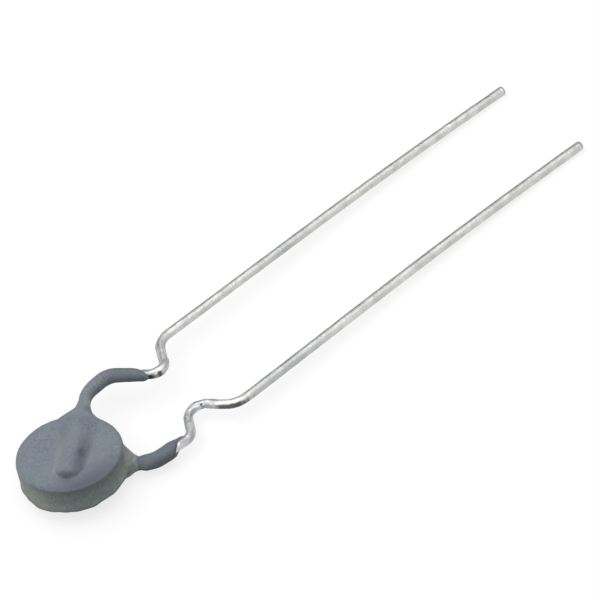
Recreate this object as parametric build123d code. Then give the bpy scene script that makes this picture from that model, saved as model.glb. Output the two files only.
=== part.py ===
from build123d import *
import math
import os

# Disc thermistor dipped in lacquer, with two kinked wire leads, lying as it comes to rest.
# Millimetres. The disc is drawn about its own axis, Z, with the leads running along +X.
# The lower lead is drawn like the upper one, then turned half round about X.
# The last step turns the whole part onto the surface that it lies on.

# Ceramic disc and its metal faces
ceramic_diameter = 6.0
ceramic_thickness = 1.5
ceramic_edge_chamfer = 0.1
electrode_margin = 0.2
electrode_thickness = 0.02

# Lacquer coat
coat_over_face = 0.17
coat_over_rim = 0.25
coat_edge_round = 0.28
coat_over_ridge = 0.15
coat_over_sleeve = 0.12
ridge_foot = 1.15
nose_foot = 0.55
nose_taper = 1.1

# Wire, and how it is soldered across each face
wire_diameter = 0.6
solder_film = 0.01
solder_spread = 0.4
solder_flank_radius = 0.5
solder_height = 0.38
solder_lip = 0.08
solder_setback = 0.4
face_angle = 39.5
face_offset = 0.25
upper_overrun = 1.8
lower_overrun = 0.9

# Bends of the leads: places along X and out from the middle, radii on the wire's centre line
lead_pitch = 6.76
lead_reach = 39.6
bulge_radius = 2.4
drop_radius = 1.25
kink_radius = 0.92
shoulder_radius = 1.3
shoulder_height = 0.69
tip_height = 0.55
tip_chamfer = 0.06
upper_bends = {"bulge": 3.04, "drop": 6.3, "kink": (8.1, 0.47), "shoulder": 10.2}
lower_bends = {"bulge": 3.18, "drop": 6.53, "kink": (8.25, 0.86), "shoulder": 10.0}

# Lacquer webs at the rim, and the sleeves that the dip leaves on the leads.
# Each web section: distance out from the rim, half width, reach above and below the wire's middle
web_sections = [
    (-1.1, 0.7, -0.35, 1.2),
    (-0.35, 1.25, 0.3, 1.75),
    (0.0, 0.67, 0.3, 1.45),
    (0.25, 0.53, 0.3, 0.95),
    (0.5, 0.44, 0.3, 0.62),
    (0.75, 0.3, 0.3, 0.38),
]
upper_sleeve_length = 4.6
lower_sleeve_length = 2.1
sleeve_end_slant = 48.0

wire_radius = wire_diameter / 2
crest_radius = wire_radius + coat_over_ridge
sleeve_radius = wire_radius + coat_over_sleeve
electrode_radius = ceramic_diameter / 2 - electrode_margin
electrode_top = ceramic_thickness / 2 + electrode_thickness
coated_radius = ceramic_diameter / 2 + coat_over_rim
coated_face = ceramic_thickness / 2 + coat_over_face
wire_height = electrode_top + solder_film + wire_radius

# The wire's line across a face: along it, square to it, and where it passes the disc's axis
along = Vector(math.cos(math.radians(face_angle)), math.sin(math.radians(face_angle)), 0)
across = Vector(-along.Y, along.X, 0)
up = Vector(0, 0, 1)
foot = across * -face_offset
rim_station = math.sqrt(coated_radius**2 - face_offset**2)
ridge_stop = rim_station - 2 * coat_edge_round
web_end = rim_station + web_sections[-1][0]


def on_face(station, height=wire_height):
    """Point over the wire's line, at a distance along it from the disc's axis."""
    return foot + along * station + up * height


def face_plane(station):
    """Plane square to the wire's line, with local X across it and local Y up from mid-thickness."""
    return Plane(origin=on_face(station, 0), x_dir=across, z_dir=along)


def solder_section():
    """Half of the solder bed: a hollow flank from the metal face up into the wire, over its middle."""
    middle = (wire_radius + solder_spread, electrode_top + solder_flank_radius)
    start = math.degrees(math.asin(1 - solder_height / solder_flank_radius))
    flank = CenterArc(middle, solder_flank_radius, 180 + start, 90 - start)
    rest = Polyline(flank @ 1, (0, electrode_top), (0, electrode_top + solder_height), flank @ 0)
    return make_face(Curve() + [flank, rest])


def ridge_section(foot_width):
    """Half of the lacquer ridge: round over the wire, sloping straight to its foot, rooted in the coat."""
    reach = math.hypot(foot_width, coated_face - wire_height)
    lean = math.atan2(coated_face - wire_height, foot_width) + math.acos(crest_radius / reach)
    crest = CenterArc((0, wire_height), crest_radius, math.degrees(lean), 90 - math.degrees(lean))
    root = coated_face - coat_edge_round
    rest = Polyline(crest @ 0, (foot_width, coated_face), (foot_width, root), (0, root), crest @ 1)
    return make_face(Curve() + [crest, rest])


def whole_section(half_section, station):
    """Both halves of a section, standing square to the wire's line."""
    return face_plane(station) * (half_section + mirror(half_section, Plane.YZ))


def along_wire(half_section, start, end):
    """Both halves of a section, drawn out along the wire's line."""
    return extrude(whole_section(half_section, start), end - start)


def nose(half_section, station):
    """Rounded end of a mound, turned about an upright axis at a place on the wire's line."""
    return revolve(face_plane(station) * half_section, Axis(on_face(station, 0), up), 180)


def lead_route(overrun, bends):
    """Centre line of one lead, from its cropped end on the disc to its tip."""
    out_station = (bends["bulge"] - foot.Y) / along.Y
    bulge_start = on_face(out_station)
    drop_x, shoulder_x = bends["drop"], bends["shoulder"]
    kink_x, kink_y = bends["kink"]
    fall = (shoulder_height - wire_height) / (shoulder_x - bulge_start.X)
    corners = [
        on_face(-overrun),
        bulge_start,
        (drop_x, bends["bulge"], wire_height + fall * (drop_x - bulge_start.X)),
        (kink_x, kink_y, wire_height + fall * (kink_x - bulge_start.X)),
        (shoulder_x, lead_pitch / 2, shoulder_height),
        (lead_reach, lead_pitch / 2, tip_height),
    ]
    return FilletPolyline(*corners, radius=[bulge_radius, drop_radius, kink_radius, shoulder_radius])


def tube(route, radius):
    """Round rod along a route that starts along the wire's line, with its seam up and to one side."""
    return sweep(Plane(route @ 0, x_dir=across + up * 2, z_dir=along) * Circle(radius), path=route)


def wire_lead(route):
    """Round wire along the route, with its outer end chamfered where it was cropped."""
    return chamfer(tube(route, wire_radius).edges().sort_by(Axis.X)[-1], tip_chamfer)


def solder_bed(overrun):
    """Solder along the wire on its metal face and round its cropped end, drawn solid where the wire lies."""
    start = -overrun - solder_lip
    bed = along_wire(solder_section(), start, electrode_radius - solder_setback)
    return bed + nose(solder_section(), start)


def ridge(overrun):
    """Ridge of lacquer over the wire on its face: it narrows to a steep, rounded nose past the wire's end."""
    wide, narrow = ridge_section(ridge_foot), ridge_section(nose_foot)
    tapered = -overrun + nose_taper
    body = along_wire(wide, tapered, ridge_stop)
    taper = loft([whole_section(narrow, -overrun), whole_section(wide, tapered)], ruled=True)
    return [body, taper, nose(narrow, -overrun)]


def rim_web():
    """Web of lacquer that draws in from the disc's rim to the sleeve on the wire."""
    sections = []
    for out, half_width, above, below in web_sections:
        oval = Pos(0, wire_height + (above - below) / 2) * Ellipse(half_width, (above + below) / 2)
        sections.append(face_plane(rim_station + out) * oval)
    return loft(sections)


def sleeve(route, overrun, length):
    """Lacquer round the wire from mid-disc out past the web, ending in a slant longer on the inner side."""
    whole = route.length
    stop = overrun + web_end + length
    spare = sleeve_radius * math.tan(math.radians(sleeve_end_slant))
    run = route.trim(overrun / whole, (stop + spare) / whole)
    end = stop / whole
    heading = route % end
    inner = heading.cross(up)
    slant = math.radians(sleeve_end_slant)
    cut = Plane(route @ end, z_dir=heading * math.cos(slant) - inner * math.sin(slant))
    return split(tube(run, sleeve_radius), bisect_by=cut, keep=Keep.BOTTOM)


def coat_side(route, overrun, length):
    """What the coat adds to the plain disc on one face: a ridge, a web and a sleeve."""
    return ridge(overrun) + [rim_web(), sleeve(route, overrun, length)]


def turned(shape):
    """The same shape on the lower face."""
    return Rot(180, 0, 0) * shape


upper_route = lead_route(upper_overrun, upper_bends)
lower_route = lead_route(lower_overrun, lower_bends)
upper_lead = wire_lead(upper_route)
lower_lead = wire_lead(lower_route)
upper_bed = solder_bed(upper_overrun)
lower_bed = solder_bed(lower_overrun)

ceramic_blank = Cylinder(ceramic_diameter / 2, ceramic_thickness)
ceramic_disc = chamfer(ceramic_blank.edges().filter_by(GeomType.CIRCLE), ceramic_edge_chamfer)
electrode_middle = electrode_top - electrode_thickness / 2
electrode = Pos(0, 0, electrode_middle) * Cylinder(electrode_radius, electrode_thickness)

parts = {
    "ceramic_disc": ceramic_disc,
    "upper_electrode": electrode,
    "lower_electrode": turned(electrode),
    "upper_solder": upper_bed - upper_lead,
    "lower_solder": turned(lower_bed - lower_lead),
    "upper_lead": upper_lead,
    "lower_lead": turned(lower_lead),
}

coat_blank = Cylinder(coated_radius, 2 * coated_face)
coat_disc = fillet(coat_blank.edges().filter_by(GeomType.CIRCLE), coat_edge_round)
upper_coat = coat_side(upper_route, upper_overrun, upper_sleeve_length)
lower_coat = [turned(piece) for piece in coat_side(lower_route, lower_overrun, lower_sleeve_length)]
core = ceramic_disc + [
    electrode,
    turned(electrode),
    upper_bed,
    turned(lower_bed),
    upper_lead,
    turned(lower_lead),
]
parts["coating"] = coat_disc + (upper_coat + lower_coat) - core


def resting_plane(rounds=20):
    """Surface under the part: over some rounds it settles on the lower ridge's nose and both lead tips."""
    tip = Vector(lead_reach - tip_chamfer, lead_pitch / 2, tip_height)
    mound = on_face(-lower_overrun)
    balls = [
        (Vector(mound.X, -mound.Y, -mound.Z), crest_radius),
        (Vector(tip.X, -tip.Y, -tip.Z), wire_radius),
        (tip, wire_radius),
    ]
    normal = up
    for _ in range(rounds):
        touching = [centre - normal * radius for centre, radius in balls]
        normal = (touching[1] - touching[0]).cross(touching[2] - touching[0]).normalized()
    return Plane(origin=touching[0], x_dir=(1, 0, -normal.X / normal.Z), z_dir=normal)


lay_down = resting_plane().location.inverse()
laid = {name: lay_down * shape for name, shape in parts.items()}
box = Compound(list(laid.values())).bounding_box()
centre = Pos(-box.center().X, -box.center().Y, 0)

os.makedirs("parts", exist_ok=True)
for name, shape in laid.items():
    export_step(centre * shape, f"parts/{name}.step")
print("box", box.min, box.max)
print("lead lengths", upper_route.length, lower_route.length)
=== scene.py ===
import math

import bmesh
import bpy
from mathutils import Matrix, Quaternion, Vector, noise


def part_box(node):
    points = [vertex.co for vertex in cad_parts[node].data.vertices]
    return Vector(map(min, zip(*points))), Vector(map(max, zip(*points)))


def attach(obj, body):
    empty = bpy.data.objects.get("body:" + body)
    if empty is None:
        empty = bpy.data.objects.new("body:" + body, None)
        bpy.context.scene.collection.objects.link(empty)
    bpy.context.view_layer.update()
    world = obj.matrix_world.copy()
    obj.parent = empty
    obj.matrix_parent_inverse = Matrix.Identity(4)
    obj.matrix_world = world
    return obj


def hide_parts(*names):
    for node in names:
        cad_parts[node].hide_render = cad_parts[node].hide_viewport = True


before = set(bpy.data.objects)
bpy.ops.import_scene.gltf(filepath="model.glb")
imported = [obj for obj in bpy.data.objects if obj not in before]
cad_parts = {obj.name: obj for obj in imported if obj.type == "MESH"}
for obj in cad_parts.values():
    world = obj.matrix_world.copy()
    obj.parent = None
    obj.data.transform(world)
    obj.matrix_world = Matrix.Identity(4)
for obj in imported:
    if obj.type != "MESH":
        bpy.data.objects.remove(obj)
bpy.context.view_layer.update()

# Disc thermistor: a lacquered disc on two kinked wire leads, lying on its lower ridge and lead tips.
# Shapes are drawn in millimetres about the disc's own axis, Z, with the leads running along +X.
# The lower side is drawn like the upper one, then turned half round about X.
# One matrix then lays the drawn shapes down in the frame, in metres.
MM = 0.001
UP = Vector((0, 0, 1))
UNTURNED = Matrix.Identity(4)
HALF_ROUND = Matrix.Rotation(math.pi, 4, "X")

# Disc and its coat
electrode_top = 0.77
coated_radius = 3.25
coated_face = 0.92
coat_edge_round = 0.12

# Wire across each face: its height, its heading, its way from the axis and how far it runs on past that
wire_radius = 0.3
wire_bed = 0.01
wire_height = electrode_top + wire_bed + wire_radius
face_angle = math.radians(39.5)
face_offset = 0.25
upper_overrun = 1.8
lower_overrun = 0.9

# Leads: how far they reach, their heights past the bends, and the bends themselves, as places along X
# and out from the middle, with the radius of each bend
lead_reach = 39.52
shoulder_height = 0.69
tip_height = 0.55
upper_bends = {"bulge": 2.94, "drop": (5.85, 3.22), "kink": (8.34, 0.5), "shoulder": (9.96, 3.29)}
lower_bends = {"bulge": 2.86, "drop": (6.63, 3.22), "kink": (8.24, 0.74), "shoulder": (10.0, 3.5)}
upper_radii = [2.4, 1.24, 0.88, 1.55]
lower_radii = [2.4, 0.9, 0.94, 1.55]

# Where the tips touch the floor: out from the middle, and back from the end
tip_out = 3.38
tip_chamfer = 0.06

# Ridge over the wire: half width at distances from the wire's cropped end, and its steep nose
ridge_widths = [(-0.5, 0.95), (0.4, 1.15), (1.6, 1.3), (4.6, 1.45)]
ridge_crown = 0.12
crest_radius = 0.45
crest_height = wire_height + crest_radius
crest_rise = crest_height - coated_face
nose_reach = 0.5
nose_width = 0.68
nose_fall = 0.24

# Webs at the rim, at distances out from it: half width, shift to the disc's middle line,
# and reach above and below the wire's middle
web_widths = [
    (-1.3, 1.1), (-0.5, 1.6), (-0.2, 1.15), (0.0, 0.84), (0.25, 0.58), (0.5, 0.46), (0.66, 0.42)
]
web_shifts = [(-0.5, 0.2), (0.3, 0.0)]
web_aboves = [(-1.3, -0.25), (-0.35, 0.42), (0.25, 0.42), (0.66, 0.41)]
web_belows = [(-1.3, 1.2), (-0.35, 1.75), (0.0, 1.5), (0.25, 1.05), (0.5, 0.66), (0.66, 0.45)]

# Sleeves: radius at distances out from the rim, where they end, and how far the end slants
upper_sleeve = [
    (0.3, 0.4), (1.2, 0.4), (1.9, 0.43), (2.6, 0.47), (3.8, 0.46), (4.6, 0.44), (5.6, 0.43)
]
lower_sleeve = [
    (0.5, 0.4), (0.66, 0.375), (0.76, 0.43), (1.0, 0.47), (1.7, 0.5), (2.5, 0.51), (3.3, 0.47)
]
upper_sleeve_end = 5.7
lower_sleeve_end = 3.5
upper_sleeve_slant = 0.34
lower_sleeve_slant = 0.52

along = Vector((math.cos(face_angle), math.sin(face_angle), 0))
across = Vector((-along.y, along.x, 0))
foot = across * -face_offset
rim_station = math.sqrt(coated_radius**2 - face_offset**2)


# Shares and unevenness


def clamped(share):
    return min(1.0, max(0.0, share))


def near(off, width, power=2):
    """1 where nothing is off, falling to 0 past a width; a higher power falls later and steeper."""
    return math.exp(-((off / width) ** power))


def patchy(closeness, *places):
    """Noise about 0 at some places, with its own closeness of patches in each direction."""
    return noise.noise(Vector([place * close for place, close in zip(places, closeness)]))


def uneven(place, lumps, shift=0):
    """Unevenness in millimetres, from layers of lumps: how deep they are and how close together."""
    return sum(depth * noise.noise(place * close + UP * shift) for depth, close in lumps)


def eased(table, at):
    """Value at a place, on a smooth curve through a table of places and values."""
    places, values = zip(*table)
    if at <= places[0]:
        return values[0]
    if at >= places[-1]:
        return values[-1]
    k = next(k for k, place in enumerate(places) if place > at) - 1

    def slope(j):
        low, high = max(j - 1, 0), min(j + 1, len(places) - 1)
        return (values[high] - values[low]) / (places[high] - places[low])

    run = places[k + 1] - places[k]
    s = (at - places[k]) / run
    rise = values[k + 1] - values[k]
    ends = slope(k) * run * s * (1 - s) ** 2 - slope(k + 1) * run * s**2 * (1 - s)
    return values[k] + rise * s**2 * (3 - 2 * s) + ends


# Routes of the wires


def on_face(station, height=wire_height):
    """Point over the wire's line, at a distance along it from the disc's axis."""
    return foot + along * station + UP * height


def lead_corners(overrun, bends):
    """Corners of one lead's centre line, from its cropped end on the disc to its tip."""
    out_station = (bends["bulge"] - foot.y) / along.y
    bulge = on_face(out_station)
    run_out = bends["shoulder"][0] - bulge.x

    def corner(place):
        share = (place[0] - bulge.x) / run_out
        return Vector((*place, wire_height + (shoulder_height - wire_height) * share))

    corners = [corner(bends[name]) for name in ("drop", "kink", "shoulder")]
    tip = Vector((lead_reach, bends["shoulder"][1], tip_height))
    return [on_face(-overrun), bulge, *corners, tip]


def bent_route(corners, radii, arc_step=0.06, run_step=0.12):
    """Points along a wire that is bent round at its inner corners, a step apart at most."""
    points = [corners[0]]

    def run_to(end):
        start = points[-1]
        steps = max(1, math.ceil((end - start).length / run_step))
        points.extend(start.lerp(end, k / steps) for k in range(1, steps + 1))

    for before, corner, after, radius in zip(corners, corners[1:], corners[2:], radii):
        back, on = (before - corner).normalized(), (after - corner).normalized()
        half = back.angle(on) / 2
        start = corner + back * (radius / math.tan(half))
        middle = corner + (back + on).normalized() * (radius / math.sin(half))
        turn = math.pi - 2 * half
        axis = (start - middle).cross(-back).normalized()
        run_to(start)
        steps = math.ceil(turn * radius / arc_step)
        for k in range(1, steps + 1):
            points.append(middle + Quaternion(axis, turn * k / steps) @ (start - middle))
    run_to(corners[-1])
    return points


def travelled(points):
    """Distance gone at each point of a route."""
    gone = [0.0]
    for a, b in zip(points, points[1:]):
        gone.append(gone[-1] + (b - a).length)
    return gone


def frames_along(points):
    """Frames square to a route, with Z along it and X to the inner side, between the leads."""
    frames = []
    for k, point in enumerate(points):
        heading = points[min(k + 1, len(points) - 1)] - points[max(k - 1, 0)]
        heading.normalize()
        inner = heading.cross(UP).normalized()
        turn = Matrix((inner, heading.cross(inner), heading)).transposed().to_4x4()
        frames.append(Matrix.Translation(point) @ turn)
    return frames


upper_route = bent_route(lead_corners(upper_overrun, upper_bends), upper_radii)
lower_route = bent_route(lead_corners(lower_overrun, lower_bends), lower_radii)


# Skins along a route, and the part laid down

tube_sides = 40


def edges_at(verts):
    """Edges that meet some vertices, each one once and always in the same order."""
    return list(dict.fromkeys(edge for vert in verts for edge in vert.link_edges))


def draw_along(mesh, ring, placed):
    """Skin from a first ring of vertices through each place that follows, closed at both ends."""
    made = [ring]
    edges = edges_at(ring)
    bmesh.ops.contextual_create(mesh, geom=edges)
    for last, here in zip(placed, placed[1:]):
        grown = bmesh.ops.extrude_edge_only(mesh, edges=edges)["geom"]
        ring = [item for item in grown if isinstance(item, bmesh.types.BMVert)]
        edges = [item for item in grown if isinstance(item, bmesh.types.BMEdge)]
        edges = [edge for edge in edges if all(vert in ring for vert in edge.verts)]
        bmesh.ops.transform(mesh, matrix=here @ last.inverted(), verts=ring)
        made.append(ring)
    bmesh.ops.contextual_create(mesh, geom=edges)
    return made


def draw_tube(mesh, placed):
    """Round skin along some places; each place scales a unit circle too."""
    circle = bmesh.ops.create_circle(mesh, radius=1, segments=tube_sides, matrix=placed[0])
    return draw_along(mesh, list(circle["verts"]), placed)


def rounded(frames, radii):
    """Places for a tube of some radii."""
    return [place @ Matrix.Diagonal((radius, radius, 1, 1)) for place, radius in zip(frames, radii)]


def resting_turn(rounds=20):
    """Turn that lays the part down on its lower ridge's nose and both lead tips."""
    nose = HALF_ROUND @ on_face(-lower_overrun)
    tip = Vector((lead_reach - tip_chamfer, tip_out, tip_height))
    balls = [(nose, crest_radius), (HALF_ROUND @ tip, wire_radius), (tip, wire_radius)]
    normal = UP
    for _ in range(rounds):
        touching = [centre - normal * radius for centre, radius in balls]
        normal = (touching[1] - touching[0]).cross(touching[2] - touching[0]).normalized()
    x_dir = Vector((1, 0, -normal.x / normal.z)).normalized()
    return Matrix((x_dir, normal.cross(x_dir), normal)).to_4x4()


def middle_of(node):
    low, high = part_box(node)
    return (low + high) / 2


laid_down = Matrix.Translation(middle_of("ceramic_disc")) @ Matrix.Scale(MM, 4) @ resting_turn()


def masks_on(mesh, names):
    """Masks on the mesh's vertices, which its material reads by name."""
    return [mesh.verts.layers.float.new(name) for name in names]


def finished(mesh, name, material, node):
    """The drawn mesh as a piece of the object, riding on the part in place of its solid."""
    data = bpy.data.meshes.new(name)
    for face in mesh.faces:
        face.smooth = True
    mesh.to_mesh(data)
    mesh.free()
    data.materials.append(material)
    piece = bpy.data.objects.new(name, data)
    bpy.context.collection.objects.link(piece)
    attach(piece, "root")
    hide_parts(node)


# Materials

# Masks of the coat's tones; most carry painted shade or painted light: on the wall and its foot, at the
# rims, noses and crease, and on the ridge's flanks
coat_masks = ("wall_toned", "low", "drawn_back_and_shade", "painted_shade", "lit_flank", "thin")
wire_masks = ("smeared", "darkened", "kink_highlight", "dull_and_reflection")

# Lacquer's tones; the first four go between two tones in a fine mottle
face_tones = ((0.148, 0.184, 0.210), (0.220, 0.240, 0.296))
# Wall below the rim: greener, and darker as painted shade
shaded_wall_tones = ((0.108, 0.152, 0.150), (0.164, 0.186, 0.202))
# Painted light on the wall's foot and lit sides
lit_wall_tones = ((0.290, 0.352, 0.315), (0.400, 0.420, 0.405))
sleeve_tones = ((0.180, 0.206, 0.218), (0.244, 0.256, 0.286))
broad_tone = (0.214, 0.246, 0.272)
# Painted shade on the disc's front and one flank of the ridge
painted_shade_tone = (0.082, 0.097, 0.128)
# Painted light on the ridge's lit flank
lit_flank_tone = (0.262, 0.294, 0.316)
# Drawn-back lacquer at the rims, with painted shade there and at the noses and crease
drawn_back_and_shade_tone = (0.112, 0.134, 0.162)

# Marks on the wires
# Painted highlight in the kinks
kink_highlight_tone = (0.800, 0.800, 0.790)
# Painted grey reflections along the wires and in the kinks, and one dull stretch
dull_and_reflection_tone = (0.335, 0.348, 0.385)
smear_tone = (0.270, 0.300, 0.345)
dark_spot_tone = (0.030, 0.032, 0.024)
smear_metallic = 0.4
smear_roughness = 0.45

ceramic_tones = ((0.055, 0.050, 0.047), (0.090, 0.084, 0.080))


def new_material(name):
    material = bpy.data.materials.new(name)
    material.use_nodes = True
    return material, material.node_tree


def feed(tree, socket, value):
    """Give an input its value: another socket, a number, or a colour without its alpha."""
    if isinstance(value, bpy.types.NodeSocket):
        tree.links.new(value, socket)
    elif isinstance(value, tuple):
        socket.default_value = (*value, 1)
    else:
        socket.default_value = value


def shade(tree, looks):
    """Feed the inputs of the material's own shader."""
    shader = tree.nodes["Principled BSDF"]
    for name, value in looks.items():
        feed(tree, shader.inputs[name], value)


def worked_out(tree, operation, *values, clamp=False):
    """Result of one sum; each value may be a number or a socket."""
    node = tree.nodes.new("ShaderNodeMath")
    node.operation = operation
    node.use_clamp = clamp
    for socket, value in zip(node.inputs, values):
        feed(tree, socket, value)
    return node.outputs[0]


def cloud_group():
    """Soft clouding of a surface at one size: a mask from 0 to 1 about a middle of one half."""
    group = bpy.data.node_groups.new("cloud", "ShaderNodeTree")
    for name in ("Size", "Contrast"):
        socket = group.interface.new_socket(name, in_out="INPUT", socket_type="NodeSocketFloat")
        socket.default_value = 1.0
    group.interface.new_socket("Mask", in_out="OUTPUT", socket_type="NodeSocketFloat")
    given = group.nodes.new("NodeGroupInput")
    out = group.nodes.new("NodeGroupOutput")
    place = group.nodes.new("ShaderNodeTexCoord")
    texture = group.nodes.new("ShaderNodeTexNoise")
    scale = worked_out(group, "DIVIDE", 1 / MM, given.outputs["Size"])
    feed(group, texture.inputs["Vector"], place.outputs["Object"])
    feed(group, texture.inputs["Scale"], scale)
    feed(group, texture.inputs["Detail"], 3)
    level = worked_out(group, "SUBTRACT", texture.outputs["Fac"], 0.5)
    spread = worked_out(group, "MULTIPLY_ADD", level, given.outputs["Contrast"], 0.5, clamp=True)
    feed(group, out.inputs["Mask"], spread)
    return group


cloud = cloud_group()


def clouded(tree, size, contrast):
    """One clouding mask: size in millimetres."""
    node = tree.nodes.new("ShaderNodeGroup")
    node.node_tree = cloud
    node.inputs["Size"].default_value = size
    node.inputs["Contrast"].default_value = contrast
    return node.outputs["Mask"]


def painted(tree, name):
    """A mask that the mesh carries; it is 0 on a mesh without it."""
    node = tree.nodes.new("ShaderNodeAttribute")
    node.attribute_name = name
    return node.outputs["Fac"]


# Places of a Mix node's colours among its inputs and outputs, where numbers and vectors come first
colour_inputs = (6, 7)
colour_output = 2


def blend(tree, mask, low, high):
    """Colour that goes from low to high with a mask; either may be a colour or a socket."""
    mix = tree.nodes.new("ShaderNodeMix")
    mix.data_type = "RGBA"
    for socket, value in {"Factor": mask, colour_inputs[0]: low, colour_inputs[1]: high}.items():
        feed(tree, mix.inputs[socket], value)
    return mix.outputs[colour_output]


def ranged(tree, mask, low, high):
    """Value that goes from low to high with a mask; either may be a number or a socket."""
    span = tree.nodes.new("ShaderNodeMapRange")
    for name, value in {"Value": mask, "To Min": low, "To Max": high}.items():
        feed(tree, span.inputs[name], value)
    return span.outputs["Result"]


def bumped(tree, height, depth, under=None):
    """Relief of a depth in millimetres on top of another normal."""
    bump = tree.nodes.new("ShaderNodeBump")
    feed(tree, bump.inputs["Distance"], depth * MM)
    feed(tree, bump.inputs["Height"], height)
    if under:
        feed(tree, bump.inputs["Normal"], under)
    return bump.outputs["Normal"]


def lacquer_material():
    """Matt blue-grey lacquer: mottled, darker where it drew back, greener down the wall, with painted
    shade and painted light on the wall, rims, noses, crease and ridge flanks.
    """
    material, tree = new_material("lacquer")
    fine = clouded(tree, size=0.16, contrast=4.5)
    broad = clouded(tree, size=1.6, contrast=2.4)
    face = blend(tree, fine, *face_tones)
    face = blend(tree, broad, face, broad_tone)
    # Painted shade on the disc's front and one flank of the ridge
    face = blend(tree, painted(tree, "painted_shade"), face, painted_shade_tone)
    # Painted light on the ridge's lit flank
    face = blend(tree, painted(tree, "lit_flank"), face, lit_flank_tone)
    # Wall: painted shade below the rim, painted light towards its foot and lit sides
    shaded_wall = blend(tree, fine, *shaded_wall_tones)
    lit_wall = blend(tree, fine, *lit_wall_tones)
    # The mask named low carries painted light: the wall's foot and its lit sides
    wall = blend(tree, painted(tree, "low"), shaded_wall, lit_wall)
    # Wall's tone, with its painted shade and light, on the steep parts
    tone = blend(tree, painted(tree, "wall_toned"), face, wall)
    tone = blend(tree, painted(tree, "thin"), tone, blend(tree, fine, *sleeve_tones))
    # Drawn-back lacquer, and painted shade at the rims, noses and crease
    tone = blend(tree, painted(tree, "drawn_back_and_shade"), tone, drawn_back_and_shade_tone)
    relief = bumped(tree, clouded(tree, size=0.5, contrast=1.5), depth=0.035)
    relief = bumped(tree, clouded(tree, size=0.12, contrast=1.5), depth=0.012, under=relief)
    rough = ranged(tree, clouded(tree, size=0.5, contrast=2.0), low=0.50, high=0.68)
    shade(tree, {"Base Color": tone, "Roughness": rough, "Normal": relief, "Specular IOR Level": 0.25})
    return material


def tin_material(name, bright, dull, blotch, roughness):
    """Tinned metal: bright with duller blotches, and on the wires smears of lacquer, dark spots, a painted
    highlight in the kinks and painted grey reflections.
    """
    material, tree = new_material(name)
    smear = painted(tree, "smeared")
    tone = blend(tree, clouded(tree, size=blotch, contrast=3.0), bright, dull)
    # Painted highlight in the kinks
    tone = blend(tree, painted(tree, "kink_highlight"), tone, kink_highlight_tone)
    # Painted grey reflections along the wires and in the kinks, and one dull stretch
    tone = blend(tree, painted(tree, "dull_and_reflection"), tone, dull_and_reflection_tone)
    tone = blend(tree, smear, tone, smear_tone)
    tone = blend(tree, painted(tree, "darkened"), tone, dark_spot_tone)
    metallic = ranged(tree, smear, 1.0, smear_metallic)
    rough = ranged(tree, clouded(tree, size=blotch * 0.4, contrast=2.5), *roughness)
    rough = ranged(tree, smear, rough, smear_roughness)
    relief = bumped(tree, clouded(tree, size=blotch, contrast=2.0), depth=0.020)
    relief = bumped(tree, clouded(tree, size=0.16, contrast=2.0), depth=0.010, under=relief)
    shade(tree, {"Base Color": tone, "Metallic": metallic, "Roughness": rough, "Normal": relief})
    return material


def ceramic_material():
    """Dense dark titanate ceramic with a fine speckle."""
    material, tree = new_material("ceramic")
    tone = blend(tree, clouded(tree, size=0.12, contrast=3.0), *ceramic_tones)
    rough = ranged(tree, clouded(tree, size=0.3, contrast=2.0), low=0.55, high=0.75)
    relief = bumped(tree, clouded(tree, size=0.05, contrast=2.0), depth=0.003)
    shade(tree, {"Base Color": tone, "Roughness": rough, "Normal": relief})
    return material


lacquer = lacquer_material()
tinned_wire = tin_material(
    "tinned_wire",
    bright=(0.655, 0.66, 0.63),
    dull=(0.52, 0.525, 0.495),
    blotch=0.8,
    roughness=(0.42, 0.62),
)
solder_metal = tin_material(
    "solder",
    bright=(0.60, 0.60, 0.60),
    dull=(0.45, 0.45, 0.45),
    blotch=0.5,
    roughness=(0.25, 0.45),
)
silvering = tin_material(
    "electrode_metal",
    bright=(0.72, 0.71, 0.68),
    dull=(0.58, 0.56, 0.52),
    blotch=0.4,
    roughness=(0.35, 0.55),
)
ceramic = ceramic_material()


# Leads

# Cropped tip: distances back from its end, with the share of the wire's radius there
cropped_tip = [(0.16, 1.0), (0.1, 0.96), (0.05, 0.87), (0.015, 0.72), (0.0, 0.52)]

# Along X: where the bends end and the straight run starts, and the middle and half length of the kink
shoulder_end = 11.0
kink_middle = 8.6
kink_half = 2.0

# Sideways sway of the straight runs, which is most a little past their middle
lead_sway = 0.2
sway_skew = 1.25

# Dents, the kinks' own dents and swelling, and what keeps the wire's mean radius
wire_dents = [(0.010, 1.1), (0.005, 3.3)]
kink_dents = [(0.06, 2.0)]
kink_swelling = 0.02
wire_shrink = 0.006

# Kinks are brighter, a painted highlight
kink_highlight_share = 0.35
kink_gain = 1.5

# Grey line along the top of the straight runs, on the far side, a painted reflection: its angle round
# the wire, its half width, the run over which it sets in, and its mean and swing
line_angle = math.radians(74)
line_half = 0.72
line_run = 1.2
line_mean = 0.6
line_swing = 0.5
line_closeness = (0.7, 1, 1)

# Broken grey streaks in the kinks, a painted reflection
kink_reflection_mean = 0.4
kink_reflection_swing = 2.6
kink_reflection_closeness = (0.8, 3.2, 3.2)
greyest = 0.9

# Smears of lacquer past the sleeves
smear_most = 0.75
smear_edge = 2.5
smear_lean = 0.55
smear_swing = 0.8
smear_closeness = (2.2, 1.3, 1)

# Dark spots, and a darker trace at the tips
spot_edge = 2.2
spot_swing = 0.8
spot_closeness = (6, 3, 1)
tip_dark = 0.2
tip_dark_run = 0.12

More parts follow.
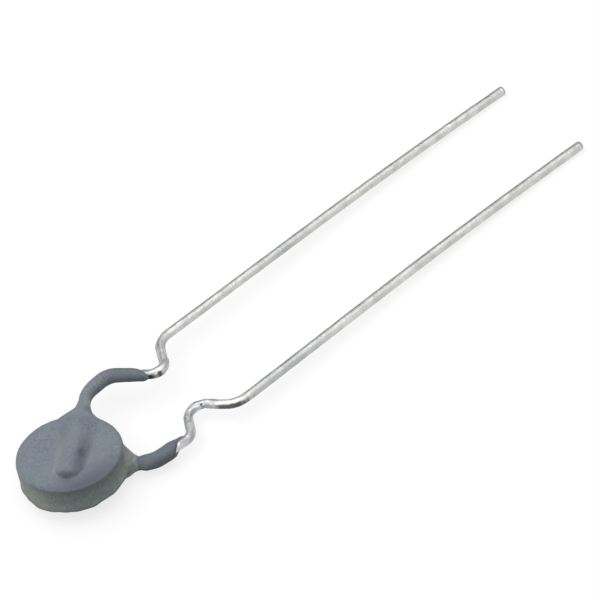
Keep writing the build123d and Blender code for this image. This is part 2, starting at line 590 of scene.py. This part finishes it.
# Marks of each wire, at distances along it. A side is 1 between the leads and -1 outside them.
# Smear: where it starts, its length and its side. Spots: middle, side, half length, half width
# and strength of each. Grey: middle, half length and strength of one dull stretch.
upper_stop = upper_overrun + rim_station + upper_sleeve_end
lower_stop = lower_overrun + rim_station + lower_sleeve_end
upper_marks = {
    "smear": (upper_stop - 0.2, 1.2, -1),
    "spots": [
        (upper_stop + 0.15, 0.95, 0.7, 0.32, 1.0),
        (upper_stop + 0.85, 0.85, 0.2, 0.25, 0.9),
    ],
    "grey": (upper_stop + 14, 0.8, 0.45),
}
lower_marks = {
    "smear": (lower_stop - 0.2, 3.4, 1),
    "spots": [
        (lower_stop + 3.7, -0.7, 0.16, 0.3, 0.9),
        (lower_stop + 4.1, -0.95, 0.5, 0.4, 0.3),
        (lower_stop + 5.6, -1.0, 1.2, 0.3, 0.85),
    ],
    "grey": (lower_stop + 9.6, 3.3, 0.45),
}


def smear_at(distance, side, start, reach, smeared_side):
    """How much lacquer is smeared on a wire past its sleeve: most on one side, in broken patches."""
    past = (distance - start) / reach
    if past < 0 or past > 1:
        return 0.0
    patch = smear_swing * patchy(smear_closeness, distance, side, start)
    cover = smear_lean * side * smeared_side + 0.5 + patch - past
    return max(0.0, min(smear_most, smear_edge * cover))


def spot_at(distance, side, spots):
    """How dark a wire's spots are: ragged spots, each at a distance along it and to one side."""
    most = 0.0
    for middle, spot_side, half, width, strength in spots:
        off = math.hypot((distance - middle) / half, (side - spot_side) / width)
        ragged = spot_swing * patchy(spot_closeness, distance, side, middle)
        most = max(most, strength * min(1.0, spot_edge * (1 - off) + ragged))
    return most


def dull_and_reflection_at(distance, out, straight, in_kink, grey):
    """How grey a wire is: a line along its top and broken streaks in its kink, both painted reflection,
    and one dull stretch.
    """
    middle, half, strength = grey
    stretch = strength * near(distance - middle, half, 4)
    line = near(math.atan2(out.z, out.y) - line_angle, line_half)
    line *= straight * (line_mean + line_swing * patchy(line_closeness, distance, out.y, 3))
    broken = kink_reflection_mean + kink_reflection_swing * patchy(kink_reflection_closeness, distance, out.dot(across), out.z)
    return min(greyest, max(0.0, line, in_kink * broken, stretch))


def draw_lead(name, route, turn, node, sway, smear, spots, grey):
    """One lead: round wire, a little swayed and dented, with a cropped tip."""
    heading = (route[-1] - route[-2]).normalized()
    points = route[:-1] + [route[-1] - heading * back for back, _ in cropped_tip]
    radii = [wire_radius] * (len(route) - 1) + [wire_radius * share for _, share in cropped_tip]
    gone = travelled(points)
    frames = frames_along(points)
    mesh = bmesh.new()
    smeared, darkened, kink_highlight, dull_and_reflection = masks_on(mesh, wire_masks)
    rings = draw_tube(mesh, rounded(frames, radii))
    mesh.normal_update()
    for place, distance, ring in zip(frames, gone, rings):
        middle, inner = place.translation, place.col[0].to_3d()
        share = (middle.x - shoulder_end) / (lead_reach - shoulder_end)
        lift = sway * math.sin(math.pi * share**sway_skew) if share > 0 else 0.0
        straight = clamped((middle.x - shoulder_end + line_run) / line_run)
        kinked = max(0.0, 1 - abs(middle.x - kink_middle) / kink_half)
        in_kink = min(1.0, kink_gain * kinked)
        at_tip = tip_dark * near(gone[-1] - distance, tip_dark_run)
        for vert in ring:
            out = (vert.co - middle).normalized()
            side = out.dot(inner)
            vert[smeared] = smear_at(distance, side, *smear)
            vert[darkened] = max(spot_at(distance, side, spots), at_tip)
            # Painted highlight in the kinks
            vert[kink_highlight] = kink_highlight_share * in_kink
            # Painted grey reflections along the wires and in the kinks, and one dull stretch
            vert[dull_and_reflection] = dull_and_reflection_at(distance, turn.to_3x3() @ out, straight, in_kink, grey)
            dent = uneven(vert.co, wire_dents)
            dent += kinked * (kink_swelling + uneven(vert.co, kink_dents, shift=5))
            vert.co += vert.normal * (dent - wire_shrink) + Vector((0, lift, 0))
    bmesh.ops.recalc_face_normals(mesh, faces=mesh.faces)
    bmesh.ops.transform(mesh, matrix=laid_down @ turn, verts=mesh.verts)
    finished(mesh, name, tinned_wire, node)


draw_lead("upper_wire", upper_route, UNTURNED, "upper_lead", lead_sway, **upper_marks)
draw_lead("lower_wire", lower_route, HALF_ROUND, "lower_lead", -lead_sway, **lower_marks)


# Coat

disc_sides = 160
rim_steps = 6
level_enough = 1e-6

# Ridge: how far its block goes past the nose, stops short of the rim and is sunk in the face
ridge_spare = 0.2
ridge_short = 0.6
ridge_depth = 0.3
ridge_skirt = 0.04
crown_dip = 0.06

# Sleeve's end: the run over which it thins out, longer on its far side, and its ragged edge
thin_run = 0.35
thin_mean = 1.3
thin_power = 0.6
ragged_depth = 0.1
ragged_closeness = (1.9, 1.9, 1)
sleeve_spare = 1.2
under_wire = 0.08

# Size of the flow between the pieces of the coat, and how many times it and its faces are smoothed
melt_size = 0.05
melt_rounds = 6
face_rounds = 4
face_reach = coated_radius - 0.35
below_crest = crest_height - 0.1

# Lumps of the whole coat, and those of its lower wall, which set in below a height over a run
coat_lumps = [(0.02, 0.9), (0.015, 2.4)]
wall_lumps = [(0.08, 1.5)]
wall_lumps_top = 0.32
wall_lumps_run = 0.8


def draw_disc(mesh):
    """Dipped disc with its rounded rims."""
    made = bmesh.ops.create_cone(
        mesh,
        cap_ends=True,
        segments=disc_sides,
        radius1=coated_radius,
        radius2=coated_radius,
        depth=2 * coated_face,
    )["verts"]
    rims = [edge for edge in edges_at(made) if abs(edge.verts[0].co.z - edge.verts[1].co.z) < level_enough]
    bmesh.ops.bevel(
        mesh,
        geom=rims,
        offset=coat_edge_round,
        affect="EDGES",
        segments=rim_steps,
        profile=0.5,
        material=-1,
    )


def ridge_rise(beyond, aside):
    """Height of the mound over the face, at a distance past the wire's end and aside of its line."""
    half_width = eased(ridge_widths, -beyond)
    if abs(aside) >= half_width:
        return 0.0
    flank = max(0.0, (abs(aside) - ridge_crown) / (half_width - ridge_crown))
    bell = 0.5 + 0.5 * math.cos(math.pi * flank)
    bell *= 1 - crown_dip * min(1.0, (aside / ridge_crown) ** 2)
    front = nose_reach * math.sqrt(max(0.0, 1 - (aside / nose_width) ** 2))
    fall = clamped((front - beyond) / nose_fall)
    return crest_rise * bell * fall**2 * (3 - 2 * fall)


def draw_ridge(mesh, overrun, step=0.06):
    """Mound of lacquer over the wire on its face: a soft bell across, with a steep nose at its end."""
    start, stop = -overrun - nose_reach - ridge_spare, rim_station - ridge_short
    middle, reach = (start + stop) / 2, (stop - start) / 2
    half = ridge_widths[-1][1]
    square = Matrix((along, across, UP)).transposed().to_4x4()
    sunk = Matrix.Translation(on_face(middle, coated_face - ridge_depth))
    bmesh.ops.create_grid(
        mesh,
        x_segments=round(2 * reach / step),
        y_segments=round(2 * half / step),
        size=1,
        matrix=sunk @ square @ Matrix.Diagonal((reach, half, 1, 1)),
    )
    top = bmesh.ops.extrude_face_region(mesh, geom=mesh.faces[:])["geom"]
    for vert in (item for item in top if isinstance(item, bmesh.types.BMVert)):
        station, aside = (vert.co - foot).dot(along), (vert.co - foot).dot(across)
        vert.co.z = coated_face - ridge_skirt + ridge_rise(-overrun - station, aside)


def draw_web(mesh, step=0.08):
    """Web of lacquer that draws in from the rim to the sleeve."""
    placed = []
    square = Matrix((across, UP, along)).transposed().to_4x4()
    first, last = web_widths[0][0], web_widths[-1][0]
    count = round((last - first) / step)
    for k in range(count + 1):
        out = first + (last - first) * k / count
        half_width, shift = eased(web_widths, out), eased(web_shifts, out)
        above, below = eased(web_aboves, out), eased(web_belows, out)
        oval = Matrix.Translation((shift, (above - below) / 2, 0))
        oval @= Matrix.Diagonal((half_width, (above + below) / 2, 1, 1))
        placed.append(Matrix.Translation(on_face(rim_station + out)) @ square @ oval)
    draw_tube(mesh, placed)


def draw_sleeve(mesh, route, overrun, radii, end, slant, far_side):
    """Lacquer along the wire, from its cropped end on the disc to a ragged, slanted edge."""
    gone = travelled(route)
    stop = overrun + rim_station + end
    count = next(k for k, distance in enumerate(gone) if distance > stop + sleeve_spare)
    frames = frames_along(route)[:count]
    rings = draw_tube(mesh, rounded(frames, [wire_radius] * count))
    for place, distance, ring in zip(frames, gone, rings):
        wall = eased(radii, distance - overrun - rim_station) - wire_radius
        middle, inner = place.translation, place.col[0].to_3d()
        for vert in ring:
            out = (vert.co - middle).normalized()
            side = out.dot(inner)
            ragged = ragged_depth * patchy(ragged_closeness, side, out.z, end)
            left = stop + slant * side + ragged - distance
            run = thin_run * (thin_mean + far_side * side)
            if left > 0:
                radius = wire_radius + wall * min(1.0, left / run) ** thin_power
            else:
                radius = wire_radius - under_wire
            vert.co = middle + out * radius


def coat_side(route, overrun, radii, end, slant, far_side, turn):
    """Ridge, web and sleeve over one wire."""
    mesh = bmesh.new()
    draw_ridge(mesh, overrun)
    draw_web(mesh)
    draw_sleeve(mesh, route, overrun, radii, end, slant, far_side)
    bmesh.ops.transform(mesh, matrix=turn, verts=mesh.verts)
    return mesh


def joined(meshes):
    """Several drawn meshes as one."""
    whole = bmesh.new()
    for mesh in meshes:
        bmesh.ops.recalc_face_normals(mesh, faces=mesh.faces)
        data = bpy.data.meshes.new("coat_pieces")
        mesh.to_mesh(data)
        mesh.free()
        whole.from_mesh(data)
        bpy.data.meshes.remove(data)
    return whole


def melted(mesh):
    """The joined pieces flowed into one skin."""
    data = bpy.data.meshes.new("coat_blank")
    mesh.to_mesh(data)
    mesh.free()
    blank = bpy.data.objects.new("coat_blank", data)
    bpy.context.collection.objects.link(blank)
    remesh = blank.modifiers.new("melt", "REMESH")
    remesh.mode = "VOXEL"
    remesh.voxel_size = melt_size
    view = bpy.context.evaluated_depsgraph_get()
    skin = bmesh.new()
    skin.from_mesh(blank.evaluated_get(view).to_mesh())
    bpy.data.objects.remove(blank)
    bpy.data.meshes.remove(data)
    return skin


def softened(skin, verts, rounds):
    axes = {"use_axis_x": True, "use_axis_y": True, "use_axis_z": True}
    for _ in range(rounds):
        bmesh.ops.smooth_vert(skin, verts=verts, factor=0.5, **axes)


# Tones of the coat by place, as masks from 0 to 1

# Directions across the disc: where its painted shade falls, where the lower web shows, and opposite that,
# where the wall has painted light
shaded_side = Vector((-0.23, -0.97))
web_side = Vector((0.8, -0.6))
lit_side = -web_side

# Wall's tone, greener and darker as painted shade below the rim: how far inside the rim it starts, the run
# over which it sets in, how soon a slope counts as wall, and how much of it comes over the rim by the web
wall_inset = 0.5
wall_run = 0.4
steep_gain = 1.8
web_rim_share = 0.7
web_rim_width = 0.3

# Painted light on the wall, paler at its foot: how far down and how far out it has its full share,
# and the shares that the lit side and the web's side add
foot_down = 1.3 * coated_face
foot_out = 0.3
foot_share = 0.5
lit_side_share = 1.3
web_side_share = 0.55

# Darker along the rims, from drawn-back lacquer and painted shade, least away from the shaded side, and
# painted shade round the noses
rim_dark = 0.7
rim_dark_width = 0.2
rim_dark_mean = 0.5
rim_dark_swing = 0.7
rim_dark_least = 0.15
nose_dark = 0.8
nose_dark_width = 0.38
nose_dark_height = coated_face + 0.2

# Painted shade in the crease where the lower sleeve starts; darker on that sleeve, and towards the upper
# sleeve's end
crease_dark = 0.8
crease_out = 0.68
crease_width = 0.1
crease_aside = 0.8
crease_height = 0.2
sleeve_out = 0.7
lower_sleeve_dark = 0.65
upper_sleeve_dark = 0.6
upper_sleeve_dark_start = 5.0
upper_sleeve_dark_run = 1.2

# Painted shade on the disc's front, and in blotches on the ridge's flank that faces the lower web;
# painted light on its other flank
front_share = 0.85
front_start = 0.45
front_run = 0.5
flank_station = -0.7
flank_half = 1.6
above_face = 0.02
shade_aside = -0.66
shade_width = 0.34
shade_mean = 0.5
shade_swing = 0.6
shade_closeness = 2.0
lit_aside = 0.8
lit_width = 0.32
lit_share = 0.9

# Thin lacquer of the sleeves, at a distance out from the rim
thin_out = 0.75
thin_out_run = 0.5

noses = [
    on_face(-upper_overrun - nose_reach, nose_dark_height),
    HALF_ROUND @ on_face(-lower_overrun - nose_reach, nose_dark_height),
]


def past_rim(place):
    """Distance out from the coated disc's rim, and less than 0 inside it."""
    return place.to_2d().length - coated_radius


def toward(place, side):
    """How far to one side of the disc a place lies: 1 at the rim there, and -1 at the rim across."""
    return place.to_2d().dot(side) / coated_radius


def on_wall(place):
    """0 on the faces, and 1 from a little inside the rim outwards."""
    return clamped((past_rim(place) + wall_inset) / wall_run)


def wall_toned_at(place, normal):
    """Where the coat has the wall's tone: greener, and darker below the rim as painted shade."""
    steep = 1 - abs(normal.z)
    by_web = web_rim_share * max(0.0, toward(place, web_side)) ** 2
    over_rim = by_web * near(past_rim(place), web_rim_width)
    return max(on_wall(place) * min(1.0, steep * steep_gain), over_rim)


def lit_wall_at(place):
    """Painted light on the wall: paler at its foot, and on two of its sides."""
    down = max(0.0, (coated_face - place.z) / foot_down, past_rim(place) / foot_out)
    pale = lit_side_share * max(0.0, toward(place, lit_side)) ** 2
    web = web_side_share * max(0.0, toward(place, web_side)) ** 2
    return min(1.0, foot_share * down + pale + web)


def drawn_back_and_shade_at(place):
    """Darker coat: drawn-back lacquer and painted shade at the rims, painted shade at the noses and in the
    crease, and darker sleeves.
    """
    edge = math.hypot(past_rim(place), abs(place.z) - coated_face)
    bared = max(rim_dark_least, rim_dark_mean + rim_dark_swing * toward(place, shaded_side))
    at_nose = min((place - nose).length for nose in noses)
    most = rim_dark * min(1.0, bared) * near(edge, rim_dark_width)
    most = max(most, nose_dark * near(at_nose, nose_dark_width))
    under = HALF_ROUND @ place - foot
    if abs(under.dot(across)) < crease_aside and under.z > crease_height:
        most = max(most, crease_dark * near(under.dot(along) - rim_station - crease_out, crease_width))
    if past_rim(place) > sleeve_out:
        toward_end = clamped((place.x - upper_sleeve_dark_start) / upper_sleeve_dark_run)
        most = max(most, lower_sleeve_dark if place.y < 0 else upper_sleeve_dark * toward_end)
    return most


def beside_ridge(place):
    """1 along the upper ridge's flanks, falling to 0 past their ends, and 0 off the upper face."""
    if place.z <= coated_face + above_face or past_rim(place) >= 0:
        return 0.0
    return near((place - foot).dot(along) - flank_station, flank_half, 4)


def painted_shade_at(place):
    """Painted shade on the upper side: on its front, and in blotches on one flank of the ridge."""
    if place.z <= 0:
        return 0.0
    front = front_share * clamped((toward(place, shaded_side) - front_start) / front_run)
    blotch = shade_mean + shade_swing * noise.noise(place * shade_closeness)
    flank = beside_ridge(place) * near((place - foot).dot(across) - shade_aside, shade_width)
    return max(front, blotch * flank)


def lit_flank_at(place):
    """Painted light on the upper side, along the ridge's other flank."""
    return lit_share * beside_ridge(place) * near((place - foot).dot(across) - lit_aside, lit_width)


def thin_at(place):
    """Where the lacquer is as thin as a sleeve's."""
    return clamped((past_rim(place) - thin_out) / thin_out_run)


def lump_at(place):
    """Unevenness of the skin in millimetres."""
    lower_wall = on_wall(place) * clamped((wall_lumps_top - place.z) / wall_lumps_run)
    return uneven(place, coat_lumps) + lower_wall * uneven(place, wall_lumps, shift=7)


def draw_coat():
    """Disc, ridges, webs and sleeves flowed into one lumpy skin, with the masks for its tones."""
    disc = bmesh.new()
    draw_disc(disc)
    upper_end = {"end": upper_sleeve_end, "slant": upper_sleeve_slant, "far_side": -1}
    lower_end = {"end": lower_sleeve_end, "slant": lower_sleeve_slant, "far_side": 1}
    upper = coat_side(upper_route, upper_overrun, upper_sleeve, turn=UNTURNED, **upper_end)
    lower = coat_side(lower_route, lower_overrun, lower_sleeve, turn=HALF_ROUND, **lower_end)
    skin = melted(joined([disc, upper, lower]))
    softened(skin, skin.verts, melt_rounds)
    inside = [vert for vert in skin.verts if vert.co.to_2d().length < face_reach]
    softened(skin, [vert for vert in inside if abs(vert.co.z) < below_crest], face_rounds)
    skin.normal_update()
    wall_toned, low, drawn_back_and_shade, painted_shade, lit_flank, thin = masks_on(skin, coat_masks)
    for vert in skin.verts:
        # Wall's tone: greener, and darker below the rim as painted shade
        vert[wall_toned] = wall_toned_at(vert.co, vert.normal)
        # Painted light on the wall's foot and lit sides
        vert[low] = lit_wall_at(vert.co)
        # Drawn-back lacquer, and painted shade at the rims, noses and crease
        vert[drawn_back_and_shade] = drawn_back_and_shade_at(vert.co)
        # Painted shade on the disc's front and one flank of the ridge
        vert[painted_shade] = painted_shade_at(vert.co)
        # Painted light on the ridge's lit flank
        vert[lit_flank] = lit_flank_at(vert.co)
        vert[thin] = thin_at(vert.co)
        vert.co += vert.normal * lump_at(vert.co)
    bmesh.ops.transform(skin, matrix=laid_down, verts=skin.verts)
    finished(skin, "coat", lacquer, "coating")


draw_coat()

for node, material in {
    "ceramic_disc": ceramic,
    "upper_electrode": silvering,
    "lower_electrode": silvering,
    "upper_solder": solder_metal,
    "lower_solder": solder_metal,
}.items():
    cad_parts[node].data.materials.clear()
    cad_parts[node].data.materials.append(material)


# Floor, light and camera

floor_half = 2.0
floor_tone = (0.25, 0.25, 0.25)
floor_glow = 0.77
white = (1.0, 1.0, 1.0)
room_far_tone = (0.2, 0.2, 0.2)
room_far_start = 0.32
room_far_end = 0.68
room_light = 0.3


def seen_directly(tree, plain, seen):
    """Strength: one value for what the camera and reflections see, another for the light it gives."""
    path = tree.nodes.new("ShaderNodeLightPath")
    either = worked_out(tree, "MAXIMUM", path.outputs["Is Camera Ray"], path.outputs["Is Glossy Ray"])
    return ranged(tree, either, plain, seen)


def plain_floor():
    """Pale floor: white to the camera and in reflections, and it keeps the part's shadow."""
    mesh = bmesh.new()
    bmesh.ops.create_grid(mesh, x_segments=1, y_segments=1, size=floor_half)
    data = bpy.data.meshes.new("floor")
    mesh.to_mesh(data)
    mesh.free()
    floor = bpy.data.objects.new("floor", data)
    bpy.context.collection.objects.link(floor)
    material, tree = new_material("floor")
    shade(tree, {"Base Color": floor_tone, "Roughness": 0.9, "Specular IOR Level": 0})
    shade(tree, {"Emission Color": white, "Emission Strength": seen_directly(tree, 0.0, floor_glow)})
    data.materials.append(material)


def soft_lamp(name, place, aim, size, radiance):
    """Square soft box at a place in millimetres, turned towards its aim."""
    data = bpy.data.lights.new(name, "AREA")
    data.shape = "SQUARE"
    data.size = size * MM
    data.energy = radiance * math.pi * (size * MM) ** 2
    lamp = bpy.data.objects.new(name, data)
    lamp.location = Vector(place) * MM
    lamp.rotation_euler = (Vector(aim) - Vector(place)).to_track_quat("-Z", "Y").to_euler()
    bpy.context.collection.objects.link(lamp)


def pale_room():
    """Even pale room, dimmer on the far side of the part."""
    world = bpy.data.worlds.new("room")
    world.use_nodes = True
    tree = world.node_tree
    background = tree.nodes["Background"]
    direction = tree.nodes.new("ShaderNodeTexCoord")
    parts = tree.nodes.new("ShaderNodeSeparateXYZ")
    far = tree.nodes.new("ShaderNodeMapRange")
    feed(tree, parts.inputs[0], direction.outputs["Generated"])
    feed(tree, far.inputs["From Min"], room_far_start)
    feed(tree, far.inputs["From Max"], room_far_end)
    feed(tree, far.inputs["Value"], parts.outputs["Y"])
    feed(tree, background.inputs["Color"], blend(tree, far.outputs["Result"], white, room_far_tone))
    feed(tree, background.inputs["Strength"], seen_directly(tree, room_light, 1.0))
    bpy.context.scene.world = world


def photo_camera():
    """Long lens at the photograph's place, in millimetres: its aim on the floor, and its roll."""
    place = Vector((-110.62, -138.99, 210.65))
    aim = Vector((0.697, 0.385, 0.0))
    roll = math.radians(-6.646)
    data = bpy.data.cameras.new("camera")
    data.sensor_width = 36
    data.lens = 270
    data.clip_start = 10 * MM
    data.clip_end = 10
    camera = bpy.data.objects.new("camera", data)
    turn = (aim - place).to_track_quat("-Z", "Y").to_matrix().to_4x4()
    camera.matrix_world = Matrix.Translation(place * MM) @ turn @ Matrix.Rotation(roll, 4, "Z")
    bpy.context.collection.objects.link(camera)
    bpy.context.scene.camera = camera


plain_floor()
soft_lamp("overhead", place=(-85, 90, 250), aim=(-85, 90, 0), size=400, radiance=1.92)
pale_room()
photo_camera()
bpy.context.scene.view_settings.view_transform = "Standard"
